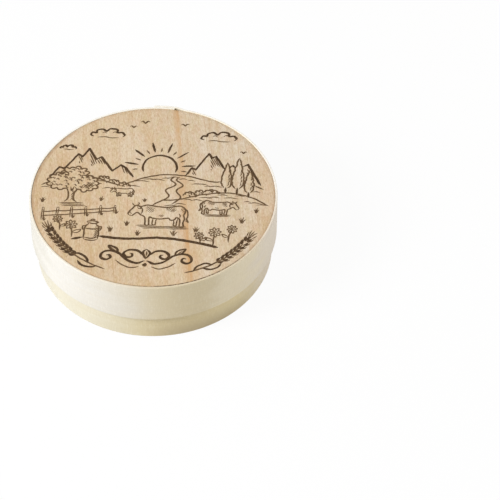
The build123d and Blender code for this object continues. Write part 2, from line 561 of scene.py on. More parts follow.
SHARP_ANGLE = 40
CORNER_STEPS = 3


def smooth_step(share):
    """A share from 0 to 1 that starts and ends softly."""
    share = min(max(share, 0.0), 1.0)
    return share * share * (3 - 2 * share)


def degrees_apart(heading, other):
    """How far one heading is from another, from -180 to 180 degrees."""
    return (heading - other + 180) % 360 - 180


def on_circle(centre, radius, angle):
    """A point on a circle, by its angle in degrees."""
    return (centre[0] + radius * cos(radians(angle)), centre[1] + radius * sin(radians(angle)))


def arc(centre, radius, start, end, steps):
    """Points in order on a part of a circle, from one angle in degrees to another."""
    return [on_circle(centre, radius, start + (end - start) * step / steps) for step in range(steps + 1)]


def direction(path, index, first, last):
    """The way that a path runs at one of its points, as a step of length one."""
    before, after = path[max(index - 1, first)], path[min(index + 1, last)]
    length = dist(before, after) or 1.0
    return (after[0] - before[0]) / length, (after[1] - before[1]) / length


def tube_faces(start, ring, count, downward=False):
    """The faces of a capped tube of rings of points; downward is for rings that run the other way."""
    sides = []
    for here in range(start, start + (count - 1) * ring, ring):
        for corner in range(ring):
            after = (corner + 1) % ring
            sides.append((here + corner, here + after, here + ring + after, here + ring + corner))
    first = tuple(range(start, start + ring))
    last = tuple(range(start + (count - 1) * ring, start + count * ring))
    if downward:
        return [(a, d, c, b) for a, b, c, d in sides] + [first, last[::-1]]
    return sides + [first[::-1], last]


def new_piece(name, half, points, faces, material, node=None, rounded=True):
    """A mesh piece that rides on the lid or the base, and stands for a node if one is named."""
    mesh = bpy.data.meshes.new(name)
    mesh.from_pydata(points, [], faces)
    mesh.materials.append(material)
    if rounded:
        mesh.shade_smooth()
        mesh.set_sharp_from_angle(angle=radians(SHARP_ANGLE))
    mesh.validate()
    piece = show(name, mesh)
    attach(piece, half.body)
    if node:
        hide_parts(node)


STRIP_STEP_ANGLE = 0.5
STRIP_ROW_HEIGHT = 0.9 * MM

# The strips' edges wave and fray, and their faces sink a little, over these lengths along and up a strip
EDGE_WEAR = 0.07 * MM
EDGE_WAVE_SHARE = 0.8
EDGE_WAVE_LENGTHS = (5 * MM, 9 * MM)
EDGE_FRAY_SHARE = 0.5
EDGE_FRAY_LENGTHS = (0.9 * MM, 2 * MM)
FACE_WAVE = 0.05 * MM
FACE_WAVE_LENGTHS = (26 * MM, 14 * MM)
FACE_WAVE_SEED = 7.5


def ripple(along, up, lengths, seed):
    """A random wave from -1 to 1 over a surface, with its own lengths along it and up it."""
    return noise.noise((along / lengths[0], up / lengths[1], seed))


def strip_section(thickness, low, high):
    """The strip's cross-section as (outward, up) points in order round it, with rounded corners."""
    span = high - low - 2 * STRIP_CORNER
    rows = max(2, round(span / STRIP_ROW_HEIGHT))
    rise = [low + STRIP_CORNER + span * row / rows for row in range(rows + 1)]
    inner, outer = STRIP_CORNER, thickness - STRIP_CORNER
    middle = (inner + outer) / 2

    def corner(outward, up, start):
        return arc((outward, up), STRIP_CORNER, start, start - 90, CORNER_STEPS)[1:-1]

    return [
        *((0.0, up) for up in rise),
        *corner(inner, high - STRIP_CORNER, 180), (inner, high), (middle, high), (outer, high),
        *corner(outer, high - STRIP_CORNER, 90),
        *((thickness, up) for up in reversed(rise)),
        *corner(outer, low + STRIP_CORNER, 0), (outer, low), (middle, low), (inner, low),
        *corner(inner, low + STRIP_CORNER, -90),
    ]


def add_strip(name, half, material, node):
    """A strip bent round the box until it lies over its own end, swept as one band with cut ends."""
    low, high, thickness = half.strip_low.z, half.strip_high.z, half.strip_thickness
    ramp_angle = degrees(RAMP_LENGTH / half.inner_radius)
    whole_angle = 360 + degrees(half.lap_length / half.inner_radius)
    count = round(whole_angle / STRIP_STEP_ANGLE)
    section = strip_section(thickness, low, high)
    points = []
    for index in range(count + 1):
        travel = whole_angle * index / count
        climb = (thickness + LAP_GAP) * smooth_step((travel - 360 + ramp_angle) / ramp_angle)
        heading = radians(half.lap_start + travel)
        length = half.inner_radius * radians(travel)
        for outward, up in section:
            edge = 1 - smooth_step(min(up - low, high - up) / (2 * STRIP_CORNER))
            wave = EDGE_WAVE_SHARE * ripple(length, up, EDGE_WAVE_LENGTHS, low / MM)
            fray = EDGE_FRAY_SHARE * ripple(length, up, EDGE_FRAY_LENGTHS, high / MM)
            worn = abs(edge * EDGE_WEAR * (wave + fray))
            sunk = min(FACE_WAVE * ripple(length, up, FACE_WAVE_LENGTHS, FACE_WAVE_SEED) * (1 - edge), 0)
            radius = half.inner_radius + climb + outward + (sunk if outward > thickness / 2 else 0)
            rise = up - worn if up > (low + high) / 2 else up + worn
            points.append((radius * cos(heading), radius * sin(heading), rise))
    new_piece(name, half, points, tube_faces(0, len(section), count + 1), material, node)


BEND_STEPS = 5
WIRE_CORNER = 0.14 * MM


def wire_path(inner, outer, middle):
    """A staple's middle line as (outward, up) points: clench, leg, crown, leg, clench, with round bends."""
    top, bottom = middle + STAPLE_CROWN / 2, middle - STAPLE_CROWN / 2
    turns = [(inner, top, 180, 90), (outer, top, 90, 0), (outer, bottom, 0, -90), (inner, bottom, -90, -180)]
    points = [(inner, top - STAPLE_CLENCH)]
    for outward, up, start, end in turns:
        hub_out = outward + STAPLE_BEND * (1 if outward == inner else -1)
        hub_up = up + STAPLE_BEND * (-1 if up == top else 1)
        points += arc((hub_out, hub_up), STAPLE_BEND, start, end, BEND_STEPS)
    return points + [(inner, bottom + STAPLE_CLENCH)]


def wire_section():
    """The flat wire's cross-section as (away from the path, across) points in order, with round corners."""
    away, across = STAPLE_THICKNESS / 2 - WIRE_CORNER, STAPLE_WIDTH / 2 - WIRE_CORNER
    corners = ((away, across), (-away, across), (-away, -across), (away, -across))
    points = []
    for quarter, corner in enumerate(corners):
        points += arc(corner, WIRE_CORNER, 90 * quarter, 90 * quarter + 90, CORNER_STEPS)
    return points


def add_staples(name, half, material, node):
    """A column of staples of flat wire through both layers of a lap."""
    inner = half.inner_radius - STAPLE_PROUD + STAPLE_THICKNESS / 2
    outer = half.inner_radius + 2 * half.strip_thickness + LAP_GAP + STAPLE_PROUD - STAPLE_THICKNESS / 2
    heading = radians(half.lap_middle)
    outward = Vector((cos(heading), sin(heading), 0))
    sideways = Vector((sin(heading), -cos(heading), 0))
    upward = Vector((0, 0, 1))
    section = wire_section()
    points, faces = [], []
    for middle in half.staple_heights:
        path = wire_path(inner, outer, middle)
        faces += tube_faces(len(points), len(section), len(path))
        for index, (out, up) in enumerate(path):
            ahead_out, ahead_up = direction(path, index, 0, len(path) - 1)
            for away, across in section:
                beside = outward * (out - away * ahead_up) + upward * (up + away * ahead_out)
                points.append(tuple(beside + sideways * across))
    new_piece(name, half, points, faces, material, node)


DISC_STEPS = 1440
DISC_FLAT_RIM = 2 * MM
DISC_ROUGHNESS = 0.05 * MM
DISC_ROUGH_WAVES = 40

# A board's lip leans over the joint, but less where the joint is widest
DISC_LIP = 0.25 * MM
DISC_OPEN_HEADING = -70
DISC_OPEN_SPREAD = 45
DISC_OPEN_SHARE = 0.6

# Chips in the rim of the lid's board: heading and depth in millimetres
JOINT_CHIPS = (
    (-96.5, 0.25), (-82.4, 0.22), (-75.1, 0.38), (-120.2, 0.28), (-132.5, 0.22),
    (-12.1, 0.28), (-165.4, 0.3), (-156.4, 0.22), (58.5, 0.32), (56.3, 0.25),
)
JOINT_CHIP_WIDTH = 0.55 * MM


def rim_cut(heading, radius, seed, chips):
    """How deep the board's rim is worn and chipped at a heading."""
    rough = noise.noise((cos(heading) * DISC_ROUGH_WAVES, sin(heading) * DISC_ROUGH_WAVES, seed))
    cut = DISC_ROUGHNESS * max(rough, 0)
    for chip_heading, depth in chips:
        away = radians(degrees_apart(degrees(heading), chip_heading)) * radius
        cut += depth * MM * exp(-(away / JOINT_CHIP_WIDTH) ** 2)
    return cut


def add_disc(name, half, chips, material, node):
    """A thin round board with eased edges and a rim that is a little uneven."""
    low, high, radius = half.disc_low.z, half.disc_high.z, half.disc_high.x
    rings = (
        (radius - DISC_FLAT_RIM, 0, high), (radius - DISC_CORNER, 1, high),
        (radius, 1, high - 0.5 * DISC_CORNER), (radius, 1, high - DISC_CORNER),
        (radius, 0, high - DISC_CORNER - DISC_LIP), (radius, 0, low + DISC_CORNER),
        (radius - DISC_CORNER, 0, low), (radius - DISC_FLAT_RIM, 0, low),
    )
    headings = [2 * pi * step / DISC_STEPS for step in range(DISC_STEPS)]
    cuts = [rim_cut(heading, radius, low / MM, chips) for heading in headings]
    points = []
    for ring_radius, lip_share, up in rings:
        is_cut = ring_radius > radius - MM and up > (low + high) / 2
        for heading, cut in zip(headings, cuts):
            off_open = abs(degrees_apart(degrees(heading), DISC_OPEN_HEADING))
            closed_share = 1 - DISC_OPEN_SHARE * smooth_step(1 - off_open / DISC_OPEN_SPREAD)
            reach = ring_radius + lip_share * DISC_LIP * closed_share - (cut if is_cut else 0)
            points.append((reach * cos(heading), reach * sin(heading), up))
    faces = tube_faces(0, DISC_STEPS, len(rings), downward=True)
    new_piece(name, half, points, faces, material, node)


# The print on the lid

# Millimetres on the lid's board, x to the right and y towards the back. A stroke is a line and its pen's
# width. What stands in front is drawn later, and cuts away what it hides.
HATCH_PEN = 0.42
FINE_PEN = 0.56
RAIL_PEN = 0.68
PEN = 0.80
BROAD_PEN = 1.05
BRUSH = 1.50
STROKE_STEP = 0.45
draw = random.Random(41)


def beyond(end, before):
    """The point as far past a line's end as the one before it is short of it."""
    return (2 * end[0] - before[0], 2 * end[1] - before[1])


def spline(a, b, c, d, t):
    """A Catmull-Rom spline's value at a share t of the way from b to c."""
    bend = (2 * a - 5 * b + 4 * c - d) * t * t
    return 0.5 * (2 * b + (c - a) * t + bend + (3 * b - a - 3 * c + d) * t ** 3)


def curve(points, closed=False):
    """A smooth line through given points, sampled closely."""
    points = [tuple(map(float, point)) for point in points]
    guide = [beyond(points[0], points[1]), *points, beyond(points[-1], points[-2])]
    if closed:
        guide = [points[-1], *points, *points[:2]]
    line = []
    for before, start, end, after in zip(guide, guide[1:], guide[2:], guide[3:]):
        count = max(2, round(dist(start, end) / STROKE_STEP))
        for index in range(count):
            line.append(tuple(spline(*values, index / count) for values in zip(before, start, end, after)))
    return line + [points[0] if closed else points[-1]]


def divide(points):
    """A line of straight runs, sampled closely."""
    line = []
    for start, end in zip(points, points[1:]):
        count = max(1, round(dist(start, end) / STROKE_STEP))
        line += [tuple(a + (b - a) * index / count for a, b in zip(start, end)) for index in range(count)]
    return line + [tuple(points[-1])]


def moved(points, place, scale=1.0, turn=0.0):
    """Points scaled, turned by some degrees and moved to a place."""
    c, s = cos(radians(turn)) * scale, sin(radians(turn)) * scale
    return [(place[0] + x * c - y * s, place[1] + x * s + y * c) for x, y in points]


def mirrored(points, side):
    """Points as they are for a side of 1, or mirrored left to right for a side of -1."""
    return [(x * side, y) for x, y in points]


def curves(pen, *lines, at=list):
    """Smooth strokes of one pen, each put in its place first."""
    return [(curve(at(line)), pen) for line in lines]


def inside(point, ring):
    """Whether a point lies inside a closed line."""
    x, y = point
    hits = False
    for (x1, y1), (x2, y2) in zip(ring, ring[1:] + ring[:1]):
        if (y1 > y) != (y2 > y) and x < x1 + (x2 - x1) * (y - y1) / (y2 - y1):
            hits = not hits
    return hits


def behind(ring, strokes):
    """Strokes without the parts that a closed line covers."""
    kept = []
    for line, pen in strokes:
        run = []
        for point in line:
            if not inside(point, ring):
                run.append(point)
                continue
            kept.append((run, pen))
            run = []
        kept.append((run, pen))
    return [(run, pen) for run, pen in kept if len(run) > 2]


def hatch(ring, pitch, turn, pen=FINE_PEN):
    """Slanted pen lines that shade the inside of a closed line."""
    level = moved(ring, (0, 0), 1.0, -turn)
    v = min(v for _, v in level) + pitch * 0.6
    high = max(v for _, v in level)
    while v < high:
        hits = sorted(
            u1 + (u2 - u1) * (v - v1) / (v2 - v1)
            for (u1, v1), (u2, v2) in zip(level, level[1:] + level[:1]) if (v1 > v) != (v2 > v)
        )
        for u1, u2 in zip(hits[::2], hits[1::2]):
            if u2 - u1 > 2 * pen:
                ends = [(u1 + 0.2, v), (u2 - 0.2, v + draw.uniform(-0.12, 0.12))]
                yield divide(moved(ends, (0, 0), 1.0, turn)), pen
        v += pitch * draw.uniform(0.85, 1.15)


def crown(place, reach, lobes, start, sweep):
    """The scalloped edge of a bush or of a broad tree's crown."""
    points = []
    for lobe in range(lobes):
        swell = draw.uniform(0.88, 1.1)
        for step, rise in ((0.0, 0.93), (0.28, 1.1), (0.55, 1.14), (0.82, 1.06)):
            angle = radians(start + sweep * (lobe / lobes + step / lobes))
            size = rise * (swell if step else 1)
            points.append((place[0] + reach[0] * size * cos(angle), place[1] + reach[1] * size * sin(angle)))
    yield curve(points), PEN


# From one leaf mark to the next round a crown, in radians
LEAF_TURN = 2.4


def leaf_marks(place, reach, count, size):
    """Small hooked strokes scattered inside a crown."""
    hook = [(-1.0, 0.1), (-0.5, 0.75), (0.2, 0.6), (0.45, -0.1), (1.0, 0.35)]
    for index in range(count):
        angle = LEAF_TURN * index
        share = 0.85 * (0.12 + 0.88 * (index + 0.5) / count) ** 0.5
        x = place[0] + reach[0] * share * cos(angle) + draw.uniform(-0.4, 0.4)
        y = place[1] + reach[1] * share * sin(angle) + draw.uniform(-0.4, 0.4)
        turn = draw.uniform(-35, 25)
        yield curve(moved(hook, (x, y), size * draw.uniform(0.8, 1.2), turn)), FINE_PEN


OAK_EDGE = [
    (-3, 0), (-1.2, 5), (-3, 8.2), (-9, 8.6), (-12.2, 13), (-9, 17.6), (-4, 19), (0, 22.8), (5, 20.4),
    (8, 17), (12, 13), (9, 8.2), (3, 8.2), (1.2, 5), (3, 0),
]


def oak(place):
    """A broad tree: a crown in three masses, a forked trunk and roots."""
    for (x, y), reach, start, sweep in (
        ((-5.5, 13.0), (6.2, 5.0), 60, 255), ((5.8, 12.4), (6.0, 4.8), -140, 255),
        ((0.2, 17.6), (6.4, 4.9), -20, 220),
    ):
        middle = (place[0] + x, place[1] + y)
        yield from crown(middle, reach, 8, start, sweep)
        yield from leaf_marks(middle, reach, 13, 0.95)
    at = partial(moved, place=place)
    left = [(-2.9, 0), (-1.5, 1.6), (-1.3, 5), (-2.6, 9.2)]
    right = [(3.0, -0.2), (1.5, 1.5), (1.3, 5), (2.9, 9.0)]
    fork = [(-0.9, 9.8), (-0.1, 7.2), (0.9, 9.9)]
    yield from curves(PEN, left, right, fork, at=at)
    yield from hatch(at([(0.1, 0.6), (1.5, 1.0), (1.2, 5), (1.9, 8.0), (0.4, 7.0), (0.0, 4)]), 0.75, 62)
    yield from hatch(at([(2.5, 9.0), (8.5, 9.0), (11.4, 12.0), (9.6, 14.2), (6.6, 11.6)]), 0.8, 48)


# One side of a slim tree, and its edge for what stands behind it, both by shares of its half width and height
POPLAR_SIDE_SHARES = [(0, 1), (0.30, 0.86), (0.62, 0.66), (0.88, 0.44), (0.8, 0.26), (0.2, 0.15)]
POPLAR_EDGE_SHARES = [(-0.2, 0.15), (-0.9, 0.35), (-0.7, 0.62), (0, 1), (0.7, 0.62), (0.9, 0.35), (0.2, 0.15)]


def poplar(place, height, width):
    """A slim tree: a flame-shaped edge in short strokes, with more strokes along its shaded side."""
    edge = curve([(x * width / 2, y * height) for x, y in POPLAR_SIDE_SHARES])
    for side in (-1, 1):
        ragged = [(place[0] + side * (x + draw.uniform(-0.16, 0.22)), place[1] + y) for x, y in edge]
        yield curve(ragged[::2]), PEN
    for index in range(7):
        y = place[1] + height * (0.24 + 0.09 * index)
        x = place[0] + width * (0.12 + 0.16 * draw.random())
        yield curve([(x, y), (x + 0.35, y + 1.1), (x + 0.1, y + 2.1)]), FINE_PEN
    yield divide([(place[0], place[1] - 0.4), (place[0], place[1] + 0.18 * height)]), BROAD_PEN


COW_EDGE = [
    (-13.9, 5.3), (-14.7, 6.0), (-14.5, 7.2), (-13.1, 9.4), (-12.1, 11.2), (-10.9, 11.7), (-9.2, 11.2),
    (-6.6, 12.2), (-4.2, 11.9), (0, 11.3), (4.4, 11.6), (8.0, 12.5), (10.2, 11.6), (11.0, 9.4), (10.4, 6.6),
    (10.9, 4.6), (10.4, 2.4), (10.6, 0.1), (9.0, 0.0), (9.0, 2.6), (8.6, 4.6), (7.2, 5.4), (6.4, 3.9),
    (4.6, 3.7), (3.6, 4.7), (0, 4.1), (-3.6, 4.4), (-4.9, 5.0), (-5.1, 2.6), (-4.9, 0.1), (-6.5, 0.0),
    (-6.7, 2.6), (-7.1, 5.0), (-8.9, 6.0), (-10.5, 7.3), (-12.1, 6.0), (-13.0, 5.2),
]
COW_LINES = (
    [(-11.8, 11.4), (-12.9, 12.2), (-13.2, 13.3)],
    [(-10.9, 11.7), (-10.2, 12.7), (-10.6, 13.7)],
    [(-11.0, 11.2), (-9.6, 10.9), (-9.1, 10.0), (-10.3, 9.9), (-11.0, 10.8)],
    [(-3.2, 4.4), (-3.4, 2.2), (-3.2, 0.5), (-2.0, 0.5), (-1.9, 2.4), (-1.7, 4.2)],
    [(6.0, 4.0), (6.3, 2.2), (6.2, 0.6), (7.4, 0.6), (7.5, 2.6), (7.9, 4.8)],
    [(10.6, 11.2), (12.0, 9.4), (12.2, 6.6), (11.8, 4.2), (12.6, 2.8), (12.0, 4.4), (11.5, 2.9)],
    [(-8.9, 10.9), (-8.3, 8.6), (-8.9, 6.4)],
    [(8.2, 8.0), (8.9, 6.8), (8.8, 5.4)],
)
COW_PATCHES = (
    [(-6.8, 11.8), (-4.4, 11.6), (-2.4, 10.8), (-3.0, 8.6), (-5.0, 7.2), (-7.0, 8.4)],
    [(2.0, 11.2), (6.0, 11.8), (7.2, 10.2), (5.6, 8.2), (3.4, 8.6), (2.0, 9.6)],
    [(8.6, 12.0), (10.2, 11.2), (10.6, 9.2), (9.6, 8.4), (8.8, 9.8)],
    [(-14.3, 6.8), (-13.2, 7.6), (-12.6, 6.4), (-13.7, 5.6)],
    [(-0.8, 6.8), (1.4, 7.0), (2.2, 5.6), (0.2, 4.9), (-1.2, 5.6)],
)


def cow(place, scale, facing):
    """A standing cow: outline, horns, ear, legs and tail, and hatched patches unless it is far away."""
    def at(points):
        return moved(mirrored(points, facing), place, scale)

    pen = PEN if scale > 0.8 else RAIL_PEN if scale > 0.5 else FINE_PEN
    yield curve(at(COW_EDGE), closed=True), pen
    yield from curves(min(pen, RAIL_PEN), *COW_LINES, at=at)
    if scale > 0.5:
        for patch in COW_PATCHES:
            yield from hatch(at(patch), 0.72 * max(scale, 0.9), 48, HATCH_PEN)
        yield divide(at([(-12.2, 9.3), (-11.9, 9.5)])), PEN


def grass(place, height, blades=4):
    """A tuft of thin bent blades that spread from one root."""
    for index in range(blades):
        lean = 2 * index / (blades - 1) - 1
        tip = height * draw.uniform(0.8, 1.1) * (1 - 0.35 * abs(lean))
        bend = lean * height * draw.uniform(0.3, 0.45)
        blade = [(0.1 * lean * height, 0), (0.45 * bend, 0.55 * tip), (bend, tip)]
        yield curve(moved(blade, place)), FINE_PEN


def daisy(place, size, height, lean):
    """A meadow flower: petals round a dark eye, on a bent stalk with one leaf."""
    x, y = place
    head = (x + lean, y + height)
    yield curve([place, (x + 0.15 * lean, y + 0.5 * height), (head[0], head[1] - 0.4 * size)]), PEN
    petal = [(0.35, 0), (0.75, 0.24), (1.15, 0.0), (0.75, -0.24), (0.35, 0)]
    yield from curves(FINE_PEN, *(moved(petal, head, size, 45 * index + 10) for index in range(8)))
    yield curve(moved([(0.2, 0), (0, 0.2), (-0.2, 0), (0, -0.2)], head, size), closed=True), PEN
    leaf = mirrored([(0, 0), (0.8, 0.9), (2.2, 1.3), (1.6, 0.3), (0, 0)], 1 if lean < 0 else -1)
    yield curve(moved(leaf, (x + 0.1 * lean, y + 0.35 * height), 0.7 * size)), FINE_PEN


def fence(start, end, posts, height):
    """Split posts and two rails that run back into the picture."""
    def at(post, up):
        share = post / (posts - 1)
        tall = height * (1 - 0.35 * share)
        return start[0] + (end[0] - start[0]) * share, start[1] + (end[1] - start[1]) * share + up * tall

    for rail in (0.36, 0.74):
        for post in range(posts - 1):
            ends = [at(post - 0.12, rail), at(post + 0.5, rail - 0.03), at(post + 1.12, rail)]
            yield curve([(x, y + draw.uniform(-0.18, 0.18)) for x, y in ends]), RAIL_PEN
    for post in range(posts):
        (foot, ground), (head, top) = at(post, -0.04), at(post, draw.uniform(1.0, 1.12))
        lean = draw.uniform(-0.25, 0.25)
        for side in (-0.45, 0.45):
            yield divide([(foot + side, ground), (head + side + lean, top)]), FINE_PEN
        yield divide([(head - 0.5 + lean, top), (head + 0.5 + lean, top + 0.25)]), FINE_PEN
        yield from grass((foot + 0.9, ground - 0.2), 0.34 * height, 3)


CHURN_EDGE = [(-3.5, 0), (-3.5, 8), (-2, 10), (-2, 12), (2, 12), (2, 10), (3.5, 8), (3.5, 0)]


def churn(place, scale):
    """A milk churn: rounded shoulders, a lipped lid and two handles."""
    at = partial(moved, place=place, scale=scale)
    flank = [(3.4, 0.4), (3.5, 4.0), (3.4, 7.4), (2.8, 9.0), (1.9, 9.8), (1.8, 10.9)]
    lip = [(-2.4, 11.0), (0, 10.5), (2.4, 11.0), (2.5, 11.7), (0, 12.2), (-2.5, 11.7), (-2.4, 11.0)]
    knob = [(-0.9, 12.1), (-0.9, 12.9), (0, 13.2), (0.9, 12.9), (0.9, 12.1)]
    handle = [(2.9, 8.8), (4.4, 8.6), (4.3, 6.4), (3.5, 6.2)]
    yield from curves(
        PEN, mirrored(flank, -1), flank, [(-3.4, 0.4), (-1.5, -0.3), (1.5, -0.3), (3.4, 0.4)],
        [(-3.4, 7.4), (0, 6.8), (3.4, 7.4)], [(-3.45, 1.5), (0, 0.9), (3.45, 1.5)],
        lip, knob, mirrored(handle, -1), handle, at=at,
    )
    shade = [(1.2, 0.9), (3.2, 1.3), (3.2, 7.0), (2.4, 8.6), (1.7, 9.4), (1.4, 6.6)]
    yield from hatch(at(shade), 0.7 * scale, 58)


def cloud(place, scale):
    """A flat-footed cloud of scallops."""
    at = partial(moved, place=place, scale=scale)
    top = [
        (-7, 0.2), (-8.3, 1.0), (-7.6, 2.5), (-5.8, 2.4), (-5.6, 3.9), (-3.2, 4.9), (-1.2, 3.7), (0.4, 5.3),
        (3.4, 4.9), (4.0, 3.0), (6.0, 3.2), (7.2, 1.8), (6.4, 0.4),
    ]
    folds = [(-3.2, 2.4), (-2.1, 3.1), (-1.0, 2.3)], [(1.6, 2.7), (2.7, 3.5), (3.9, 2.6)]
    yield from curves(BROAD_PEN, top, at=at)
    yield from curves(FINE_PEN, [(-5.2, -0.4), (-2, -0.1), (1.5, -0.5), (4.6, -0.2)], *folds, at=at)


def bird(place, span):
    """A far bird: two arched wings."""
    yield curve(moved([(-1, 0.25), (-0.55, 0.55), (0, 0), (0.5, 0.6), (1, 0.4)], place, span / 2)), PEN


def sun(place, radius, rays):
    """A low sun with long and short rays in turn."""
    yield curve([on_circle(place, radius, angle) for angle in range(-18, 205, 20)]), BROAD_PEN
    for ray in range(rays):
        angle = -8 + 196 * ray / (rays - 1)
        reach, pen = (2.1, BROAD_PEN) if ray % 2 else (1.62, PEN)
        yield divide([on_circle(place, radius * share, angle) for share in (1.28, reach)]), pen


# Each crag's ridge, and then its faces in shade
CRAGS = (
    (
        [(-50, 9), (-46.5, 15), (-44, 14.4), (-38.5, 24.5), (-36.2, 23.0), (-33.6, 28.4), (-29.6, 21.6),
         (-27.0, 23.4), (-21.2, 14.6), (-17.5, 18.4), (-14.6, 16.8), (-10.5, 10.8)],
        [(-33.6, 28.4), (-29.6, 21.6), (-27.0, 23.4), (-24.5, 18.0), (-28.6, 18.6), (-31.4, 16.4),
         (-32.4, 22)],
        [(-38.5, 24.5), (-36.2, 23.0), (-35.4, 19), (-37.4, 18)],
        [(-17.5, 18.4), (-14.6, 16.8), (-11.8, 12.6), (-15.4, 13.2)],
    ),
    (
        [(13.5, 12.4), (17.0, 18.8), (18.8, 17.8), (24.4, 29.0), (26.4, 26.4), (28.2, 27.2), (33.0, 18.0),
         (36.5, 21.6), (39.0, 19.4), (43.5, 23.0), (50.5, 9.5)],
        [(24.4, 29.0), (26.4, 26.4), (28.2, 27.2), (31.6, 20.2), (28.2, 20.6), (26.0, 17.4), (25.6, 22)],
        [(43.5, 23.0), (48.4, 13.6), (45.0, 14.8), (43.2, 13)],
        [(17.0, 18.8), (18.8, 17.8), (19.6, 14.0), (17.6, 14.4)],
    ),
)
HILL_EDGES = (
    [(-54, 3.0), (-47, 7.8), (-39, 10.6), (-30, 9.8), (-20, 6.2), (-10, 3.4), (0, 4.4), (9, 7.4)],
    [(-16, 5.0), (-6, 10.6), (4, 13.6), (16, 13.2), (28, 10.4), (40, 12.6), (52, 7.0)],
    [(54.5, -3.0), (46, 1.6), (36, 3.6), (24, 2.0), (12, -2.2), (4, -3.2)],
)
TRACK = (
    [(9.5, 12.6), (7.5, 10.4), (10.0, 7.4), (5.6, 3.6), (7.4, -0.6), (2.0, -5.0), (-2, -8.5)],
    [(11.4, 12.6), (10.4, 10.4), (13.4, 7.0), (10.6, 3.4), (13.0, -1.0), (9.0, -5.4)],
)


def under(line, foot):
    """The closed line round the ground between a skyline and a level below it."""
    return [*line, (line[-1][0], foot), (line[0][0], foot)]


def hills():
    """Far crags either side of a low sun, rolling hills and the track between them."""
    strokes = list(sun((1.5, 18), 8.2, 13))
    for ridge, *shades in CRAGS:
        jagged = [(x + draw.uniform(-0.2, 0.2), y + draw.uniform(-0.2, 0.2)) for x, y in ridge]
        strokes = [*behind(under(ridge, 0), strokes), (divide(jagged), BROAD_PEN)]
        for shade in shades:
            strokes += hatch(shade, 0.95, -64)
    for edge in HILL_EDGES:
        line = curve(edge)
        strokes = [*behind(under(line, -30), strokes), (line, PEN)]
        for x, y in line[6:-6:9]:
            reach = draw.uniform(1.6, 4.0)
            foot = y - draw.uniform(1.2, 4.2)
            strokes.append((curve([(x - reach, foot), (x, foot + 0.5), (x + reach, foot)]), FINE_PEN))
    return strokes + curves(PEN, *TRACK)


def bushes(row, size):
    """Round bushes in a row, each in front of the one before."""
    strokes = []
    for place in row:
        reach = (size * draw.uniform(0.85, 1.2), size * draw.uniform(0.7, 0.95))
        arch = [(cos(radians(a)) * reach[0], max(0, sin(radians(a))) * reach[1]) for a in range(0, 360, 20)]
        strokes = [*behind(moved(arch, place), strokes), *crown(place, reach, 5, -8, 196)]
        middle = (place[0], place[1] + 0.4 * reach[1])
        strokes += leaf_marks(middle, (0.6 * reach[0], 0.35 * reach[1]), 3, 0.28 * size)
    return strokes


# The parts of an ear of wheat that points along +X: a grain and its beard, a blade, and the ear's tip
GRAIN, BEARD = [(0.2, 0.35), (1.3, 1.15), (2.9, 1.35)], [(3.0, 1.4), (4.6, 2.0), (6.0, 2.1)]
BLADE = [(0, 0), (3.2, 2.2), (7.0, 2.4), (9.6, 0.9)]
TIP_GRAIN, TIP_BEARD = [(0, 0), (1.6, 0.1), (3.0, 0)], [(2.0, 0), (4.6, 0.2), (7.0, 0)]


def wheat(root, turn, length, bend, grains):
    """An ear of wheat: a bent stalk with two blades, grains as brush dabs in pairs, and long beards."""
    def along(share):
        return on_circle(root, length * share, turn + bend * share / 2)

    parts = [
        (0.46 + 0.5 * grain / (grains - 1), side, 0, line, pen)
        for grain in range(grains) for side in (-1, 1) for line, pen in ((GRAIN, BRUSH), (BEARD, FINE_PEN))
    ]
    parts += [(0.12, 1, 0, BLADE, BROAD_PEN), (0.24, -1, 0, BLADE, BROAD_PEN), (0.98, 1, 0, TIP_GRAIN, BRUSH)]
    parts += [(0.98, 1, lean, TIP_BEARD, FINE_PEN) for lean in (-12, 0, 12)]
    yield curve([along(share / 10) for share in range(10)]), PEN
    for share, side, lean, line, pen in parts:
        points = [(x, y * side) for x, y in line]
        yield curve(moved(points, along(share), 1.0, turn + bend * share + lean)), pen


# The scroll's right half: each line and its pen
SCROLL = (
    ([(0.6, -3.2), (5.0, -5.2), (10.5, -3.2), (15.0, 1.2), (20.0, 3.0), (24.4, 1.4), (25.0, -2.2),
      (22.2, -3.8), (19.8, -2.2), (20.6, -0.2), (22.2, -0.4)], BRUSH),
    ([(1.4, 0.6), (5.2, 4.0), (10.0, 4.2), (12.6, 1.4), (11.0, -1.2), (8.2, -0.8), (7.9, 1.2),
      (9.2, 1.7)], BRUSH),
    ([(15.6, 1.6), (17.2, 5.2), (21.4, 6.6), (19.6, 3.6), (15.6, 1.6)], BROAD_PEN),
    ([(17.0, 2.6), (18.6, 4.2), (20.4, 5.6)], FINE_PEN),
    ([(3.4, -7.6), (8.0, -8.8), (12.6, -7.0), (16.6, -4.0)], PEN),
)


def flourish(place, scale):
    """A bold mirrored scroll with leaves, drawn with a brush."""
    at = partial(moved, place=place, scale=scale)
    for side in (-1, 1):
        for line, pen in SCROLL:
            width = max(pen * scale, BROAD_PEN) if pen >= BROAD_PEN else pen * scale
            yield curve(at(mirrored(line, side))), width
    yield curve(at([(0, 5.6), (-2.0, 2.6), (0, -1.4), (2.0, 2.6), (0, 5.6)])), BROAD_PEN
    yield curve(at([(0, 3.8), (0, 1.6), (0, 0)])), PEN
    yield curve(at([(0.7, -6.2), (0, -5.5), (-0.7, -6.2), (0, -6.9)]), closed=True), BRUSH


